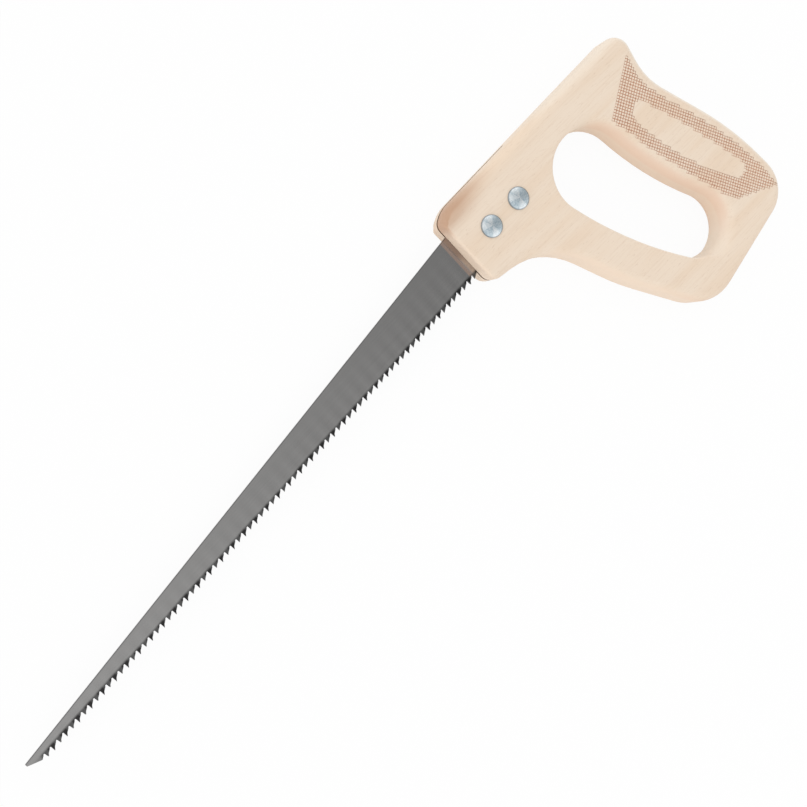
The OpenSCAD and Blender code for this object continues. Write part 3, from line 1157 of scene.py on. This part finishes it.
@dataclass
class SawBlade:
    """The tapered blade: one tooth repeated along its edge, set left and right in turn."""

    length: float = 301.0
    thickness: float = 1.2
    back_drop: float = 10.6
    heel_width: float = 24.7
    toe_width: float = 5.6
    line_angle_deg: float = 1.5
    point_width: float = 1.2
    nose_back: float = 6.0
    nose_gullet: float = 1.6
    tang: float = 46.0
    pitch: float = 3.81
    depth: float = 2.65
    rake_deg: float = 2.0
    gullet: float = 0.8
    bowl: float = 1.0
    bowl_curve: Sequence[Point] = (
        (1.0, 0.20), (0.8, 0.10), (0.6, 0.035), (0.4, 0.005), (0.2, 0.0), (0.06, 0.035))
    face_foot: Point = (0.02, 0.12)
    tip_curve: Sequence[Point] = ((-0.03, 0.985), (0.0, 1.0), (0.08, 0.985), (1.05, 0.56))
    tooth_set: float = 0.3
    set_share: float = 0.2
    nose_clear: float = 0.5
    bend_rise: float = 0.5
    point_bevel: float = 0.4
    back_bevel: float = 0.18
    bolts: Sequence[Point] = ((17.4, -BOLT_DROP), (36.9, -BOLT_DROP))
    bolt_hole: float = 5.2
    drill: float = 4.0
    smooth_deg: float = 18.0

    @property
    def tooth_slope(self) -> float:
        """Fall of the tooth line towards the toe, per unit of length."""
        return math.tan(math.radians(self.line_angle_deg))

    @property
    def face_run(self) -> float:
        """How far a tooth's tip lies behind the foot of its cutting face."""
        return self.depth * math.tan(math.radians(self.rake_deg))

    @property
    def first_tip(self) -> float:
        """Place of the first tooth's tip along the blade."""
        return -self.length + self.nose_back + self.nose_gullet + self.gullet + self.face_run

    @property
    def teeth(self) -> int:
        """Number of teeth in front of the handle."""
        return int(-self.first_tip // self.pitch) + 1

    def back_y(self, x: float) -> float:
        """Height of the back edge at a place along the blade."""
        taper = (self.heel_width - self.toe_width) / self.length
        return -self.back_drop + (self.tooth_slope + taper) * x

    def tip_y(self, x: float) -> float:
        """Height of the tooth tips' line at a place along the blade."""
        return -self.back_drop - self.heel_width + self.tooth_slope * x

    def gullet_y(self, x: float) -> float:
        """Height of the gullets' line at a place along the blade."""
        return self.tip_y(x) + self.depth

    def tooth_profile(self) -> list[Point]:
        """Draw one tooth from gullet to gullet.

        Returns:
            The points in order, as offsets from the tip and shares of the depth.
        """
        foot = -self.face_run
        bowl = [(foot - self.bowl * share, sink) for share, sink in self.bowl_curve]
        offset, sink = self.face_foot
        end = (bowl[0][0] + self.pitch, bowl[0][1])
        return [*bowl, (foot + offset, sink), *self.tip_curve, end]

    def build(self) -> Piece:
        """Model the blade.

        Returns:
            The finished blade.
        """
        blade = self._toothed_strip()
        self._raise_back(blade)
        self._add_ends(blade)
        apply_modifier(blade, "SOLIDIFY", thickness=self.thickness * MM, offset=0.0)
        weld(blade)
        for place in self.bolts:
            cut_away(blade, add_round("bolt_hole", on_saw(*place), self.bolt_hole, self.drill))
        self._break_back_edges(blade)
        self._set_teeth(blade)
        smooth_skin(blade, self.smooth_deg, weighted=False)
        return blade

    def _toothed_strip(self) -> Piece:
        """Model one tooth from a grid and repeat it along the tooth line.

        Returns:
            The strip from the first to the last tooth.
        """
        profile = self.tooth_profile()
        count = len(profile)
        deselect()
        bpy.ops.mesh.primitive_grid_add(x_subdivisions=count - 1, y_subdivisions=1, size=1.0)
        strip = fresh_piece("blade_steel")
        order = sorted(strip.data.vertices, key=lambda v: (round(v.co.y, 4), v.co.x))
        for (offset, share), edge, base in zip(profile, order[:count], order[count:]):
            x = self.first_tip + offset
            edge.co = on_saw(x, self.gullet_y(x) - share * self.depth)
            base.co = on_saw(x, self.gullet_y(x) + self.bend_rise)
        apply_modifier(
            strip, "ARRAY", count=self.teeth, use_relative_offset=False, use_constant_offset=True,
            constant_offset_displace=(self.pitch * MM, self.pitch * self.tooth_slope * MM, 0.0),
            use_merge_vertices=True, merge_threshold=SAME_PLACE * MM)
        return strip

    @staticmethod
    def _extrude_to(blade: Piece, flags: np.ndarray, place: Callable[[Vector], Vector]) -> None:
        """Extrude the edges between some vertices and put each new point at a place of its own.

        Args:
            blade: The blade's flat sheet.
            flags: Whether each vertex is an end of such an edge.
            place: Gives the new place of a point from its old one.
        """
        pick(blade, Element.EDGE, flags[edge_ends(blade)].all(axis=1))
        bpy.ops.mesh.extrude_region()
        object_mode()
        for vertex in blade.data.vertices:
            if vertex.select:
                vertex.co = place(vertex.co)

    def _raise_back(self, blade: Piece) -> None:
        """Extrude the bend line of the teeth up to the straight back.

        Args:
            blade: The strip of teeth.
        """
        places = saw_places(blade)
        base = np.abs(places[:, 1] - self.gullet_y(places[:, 0]) - self.bend_rise) < ON_LINE
        self._extrude_to(blade, base, lambda p: on_saw((p.x - FRONT_X) / MM,
                                                       self.back_y((p.x - FRONT_X) / MM)))

    def _add_ends(self, blade: Piece) -> None:
        """Extrude the nose with its blunt point at the toe, and the tang at the heel.

        Args:
            blade: The blade's flat sheet.
        """
        nose = -self.length + self.nose_back
        point = self.back_y(-self.length)
        blunt = (point - self.point_width, point - self.point_width / 2, point)
        self._extend(blade, min, nose, self._upright(nose, self.depth / 2))
        self._extend(blade, min, -self.length, blunt)
        self._extend(blade, max, self.tang, self._upright(self.tang))

    def _upright(self, x: float, drop: float = 0.0) -> Triple:
        """Heights at the edge, the bend line and the back, with the edge lowered by a drop."""
        gullet = self.gullet_y(x)
        return gullet - drop, gullet + self.bend_rise, self.back_y(x)

    def _extend(self, blade: Piece, end: Callable, x: float, heights: Triple) -> None:
        """Extrude the upright edges at one end of the sheet to a new upright.

        Args:
            blade: The blade's flat sheet.
            end: min for the toe's end, max for the heel's end.
            x: Place of the new upright along the blade.
            heights: Its heights at the edge, the bend line and the back.
        """
        places = saw_places(blade)
        last = np.abs(places[:, 0] - end(places[:, 0])) < SAME_PLACE
        ranked = sorted(np.flatnonzero(last), key=lambda i: places[i, 1])
        rows = {round(float(places[i, 1]), 3): y for i, y in zip(ranked, heights)}
        self._extrude_to(blade, last, lambda p: on_saw(x, rows[round((p.y - SPINE_Y) / MM, 3)]))

    def _break_back_edges(self, blade: Piece) -> None:
        """Bevel the two long edges of the back.

        Args:
            blade: The solid blade.
        """
        places = saw_places(blade)
        back = np.abs(places[:, 1] - self.back_y(places[:, 0])) < ON_LINE
        ends = edge_ends(blade)
        long = np.abs(places[ends[:, 0], 0] - places[ends[:, 1], 0]) > SAME_PLACE
        bevel_edges(blade, back[ends].all(axis=1) & long, self.back_bevel)

    def _set_teeth(self, blade: Piece) -> None:
        """Bend the tips out of the blade's plane in turn, with their points on the outer side.

        Args:
            blade: The solid blade.
        """
        for side, turn in ((1, 1), (-1, 0)):
            places = saw_places(blade)
            number = np.round((places[:, 0] - self.first_tip) / self.pitch).astype(int)
            sunk = (places[:, 1] - self.tip_y(places[:, 0])) / self.depth
            tips = (sunk < self.set_share) & (places[:, 0] > self.first_tip - self.nose_clear)
            mine = tips & (number % 2 == turn)
            pick(blade, Element.VERTEX, mine)
            bpy.ops.transform.translate(value=(0.0, 0.0, side * self.tooth_set * MM))
            pick(blade, Element.VERTEX, mine & (places[:, 2] * side < 0))
            bpy.ops.transform.translate(value=(0.0, self.point_bevel * MM, 0.0))
            object_mode()


@dataclass
class SawBolt:
    """A saw bolt: low dome on the upper cheek, square neck in the wood, shank down to the nut."""

    name: str
    place: Point
    head_d: float = 10.8
    head_sides: int = 72
    head_rings: int = 120
    rim: float = 0.5
    rim_break: float = 0.12
    dome: float = 1.4
    neck: float = 3.0
    shank_d: float = 5.0
    shank_end: float = 1.4
    shank_bevel: float = 0.3

    def build(self) -> Piece:
        """Model the bolt.

        Returns:
            The finished bolt.
        """
        bolt = self._head()
        neck = add_block("neck", on_saw(*self.place, CHEEK_Z - self.neck / 2 * MM),
                         (self.shank_d, self.shank_d, self.neck))
        length = CHEEK_Z / MM - self.neck - self.shank_end
        shank = add_round("shank", on_saw(*self.place, (self.shank_end + length / 2) * MM),
                          self.shank_d, length)
        heights = saw_places(shank)[:, 2]
        low = heights < heights.min() + self.shank_bevel
        bevel_edges(shank, low[edge_ends(shank)].all(axis=1), self.shank_bevel)
        select_only(bolt, neck, shank)
        bpy.ops.object.join()
        smooth_skin(bolt, SHARP_DEG)
        return bolt

    def _head(self) -> Piece:
        """Cut the dome from a sphere, extrude its rim down to the cheek and close it.

        Returns:
            The closed head.
        """
        half = self.head_d / 2
        radius = (half * half + self.dome * self.dome) / (2 * self.dome)
        top = CHEEK_Z + (self.rim + self.dome) * MM
        deselect()
        bpy.ops.mesh.primitive_uv_sphere_add(
            segments=self.head_sides, ring_count=self.head_rings, radius=radius * MM,
            location=on_saw(*self.place, top - radius * MM))
        head = fresh_piece(self.name)
        pick_all(head)
        bpy.ops.mesh.bisect(plane_co=on_saw(*self.place, CHEEK_Z + self.rim * MM),
                            plane_no=(0, 0, 1), clear_inner=True)
        object_mode()
        pick(head, Element.EDGE, rim_edges(head))
        bpy.ops.mesh.extrude_region()
        bpy.ops.transform.translate(value=(0.0, 0.0, -self.rim * MM))
        bpy.ops.mesh.edge_face_add()
        weld(head)
        break_edges(head, self.rim_break)
        return head


@dataclass
class SawNut:
    """A round slotted nut, let in flush with the lower cheek."""

    name: str
    place: Point
    diameter: float = 10.0
    sides: int = 72
    thickness: float = 3.2
    bore: float = 5.2
    slot_width: float = 1.2
    slot_depth: float = 1.2
    edge_break: float = 0.25

    def build(self) -> Piece:
        """Model the nut.

        Returns:
            The finished nut.
        """
        middle = on_saw(*self.place, self.thickness / 2 * MM)
        nut = add_round(self.name, middle, self.diameter, self.thickness, self.sides)
        cut_away(nut, add_round("bore", middle, self.bore, 2 * self.thickness))
        cut_away(nut, add_block("slot", on_saw(*self.place, 0.0),
                                (2 * self.diameter, self.slot_width, 2 * self.slot_depth)))
        break_edges(nut, self.edge_break)
        weld(nut)
        smooth_skin(nut, SHARP_DEG)
        return nut


@dataclass(frozen=True)
class PhotoCamera:
    """The camera of the photograph: above the blade's back, looking down across the saw."""

    place: Triple = (-160.19, 60.54, 473.0)
    right: Triple = (0.6696, -0.6823, 0.2934)
    down: Triple = (-0.7198, -0.6936, 0.0296)
    focal_px: float = 1018.4
    image_px: float = 807.0
    sensor: float = 36.0

    def build(self) -> None:
        """Create the camera and make it the scene's."""
        data = bpy.data.cameras.new("photo_camera")
        data.sensor_width = self.sensor
        data.lens = self.focal_px / self.image_px * self.sensor
        camera = bpy.data.objects.new("photo_camera", data)
        bpy.context.scene.collection.objects.link(camera)
        right = Vector(self.right).normalized()
        back = right.cross(-Vector(self.down)).normalized()
        turn = Matrix((right, back.cross(right), back)).transposed().to_4x4()
        x, y, z = self.place
        camera.matrix_world = Matrix.Translation(on_saw(x, y, z * MM)) @ turn
        bpy.context.scene.camera = camera


@dataclass(frozen=True)
class AreaLamp:
    """One soft studio lamp that looks at the saw, with its place and size in metres."""

    name: str
    place: Triple
    size: float
    watts: float
    mirrored: bool = True

    def build(self) -> None:
        """Hang the lamp and aim it at the middle of the saw."""
        data = bpy.data.lights.new(self.name, "AREA")
        data.shape = "DISK"
        data.size = self.size
        data.energy = self.watts
        lamp = bpy.data.objects.new(self.name, data)
        bpy.context.scene.collection.objects.link(lamp)
        lamp.visible_glossy = self.mirrored
        lamp.location = self.place
        lamp.rotation_euler = Vector(self.place).to_track_quat("Z", "Y").to_euler()


@dataclass(frozen=True)
class Studio:
    """White floor, soft surroundings and a lamp, with the floor's size in metres."""

    lamp: AreaLamp = AreaLamp("soft_box", (0.7, -0.5, 1.3), 1.6, 2.0, mirrored=False)
    sky_level: float = 0.87
    sky_rim: float = 0.78
    sky_lean: Point = (-0.16, 0.20)
    sky_pinch: float = -0.37
    mirror_level: float = 0.61
    mirror_along: float = -0.60
    mirror_top: Ramp = Ramp(0.5, 0.85)
    mirror_rim: Ramp = Ramp(0.15, 0.65, 0.45, 1.25)
    rim_heading: Point = (0.29, 0.96)
    floor_size: float = 12.0
    floor_white: Color = (0.90, 0.90, 0.90)
    floor_roughness: float = 0.9
    floor_glow: Point = (0.35, 0.93)

    def build(self) -> None:
        """Lay the floor, light the surroundings and hang the lamp."""
        self._floor()
        self._sky()
        self.lamp.build()
        bpy.context.scene.view_settings.view_transform = "Standard"

    @staticmethod
    def _seen(sheet: NodeSheet) -> Socket:
        """One for rays that show the background itself, straight or through glass."""
        ray = sheet.add("ShaderNodeLightPath").outputs
        return sheet.math("MAXIMUM", ray["Is Camera Ray"], ray["Is Transmission Ray"])

    def _floor(self) -> None:
        """Lay a white floor that keeps a faint shadow of the saw."""
        deselect()
        bpy.ops.mesh.primitive_plane_add(size=self.floor_size)
        floor = fresh_piece("studio_floor")
        sheet = MaterialSheet("floor_white")
        sheet.shade(Base_Color=(*self.floor_white, 1.0), Roughness=self.floor_roughness)
        share = sheet.mix(self._seen(sheet), *self.floor_glow)
        glow = sheet.add("ShaderNodeEmission")
        both = sheet.add("ShaderNodeMixShader")
        for socket, value in zip(both.inputs, (share, sheet.shader.outputs[0], glow.outputs[0])):
            sheet.feed(socket, value)
        sheet.feed_all(sheet.tree.nodes["Material Output"], Surface=both.outputs[0])
        floor.data.materials.append(sheet.material)

    def _sky(self) -> None:
        """Surround the saw with soft light, white to the camera and of its own run in mirrors."""
        world = bpy.data.worlds.new("studio_sky")
        bpy.context.scene.world = world
        world.use_nodes = True
        sheet = NodeSheet(world.node_tree)
        at = sheet.split(sheet.add("ShaderNodeTexCoord").outputs["Generated"])
        low = sheet.math("SUBTRACT", 1.0, at["Z"])
        soft = sheet.math("MULTIPLY_ADD", low, self.sky_rim, self.sky_level)
        for axis, lean in zip("XY", self.sky_lean):
            soft = sheet.math("MULTIPLY_ADD", at[axis], lean, soft)
        soft = sheet.math("MULTIPLY_ADD", sheet.math("ABSOLUTE", at["Y"]), self.sky_pinch, soft)
        overhead = sheet.math("MULTIPLY_ADD", at["X"], self.mirror_along, self.mirror_level)
        turned = [sheet.math("MULTIPLY", at[axis], share)
                  for axis, share in zip("XY", self.rim_heading)]
        away = sheet.math("ABSOLUTE", sheet.math("ADD", *turned))
        mirrored = sheet.mix(sheet.remap(at["Z"], self.mirror_top),
                             sheet.remap(away, self.mirror_rim), overhead)
        glossy = sheet.add("ShaderNodeLightPath").outputs["Is Glossy Ray"]
        around = sheet.mix(glossy, soft, mirrored)
        sheet.feed_all(world.node_tree.nodes["Background"], Color=(1.0, 1.0, 1.0, 1.0),
                       Strength=sheet.math("MAXIMUM", self._seen(sheet), around))


def main() -> None:
    """Build and dress the saw, then the studio and the camera."""
    logging.basicConfig(level=logging.INFO, format="%(name)s: %(message)s")
    groups = SurfaceGroups()
    PhotoCamera().build()
    hand_over(BeechHandle().build(), "handle", BeechFinish().make(groups))
    blade = SawBlade()
    hand_over(blade.build(), "blade", SawSteelFinish().make(groups, blade))
    front, rear = blade.bolts
    bolt, nut = SawBolt("bolt_front", front).build(), SawNut("nut_front", front).build()
    step = on_saw(*rear) - on_saw(*front)
    pairs = {"front": (front, bolt, nut),
             "rear": (rear, moved_copy(bolt, "bolt_rear", step), moved_copy(nut, "nut_rear", step))}
    for end, (place, bolt, nut) in pairs.items():
        finish = ZincFinish().make(groups, f"zinc_{end}", on_saw(*place))
        hand_over(bolt, f"saw_bolt_{end}", finish)
        hand_over(nut, f"saw_nut_{end}", finish)
    Studio().build()


if __name__ == "__main__":
    main()
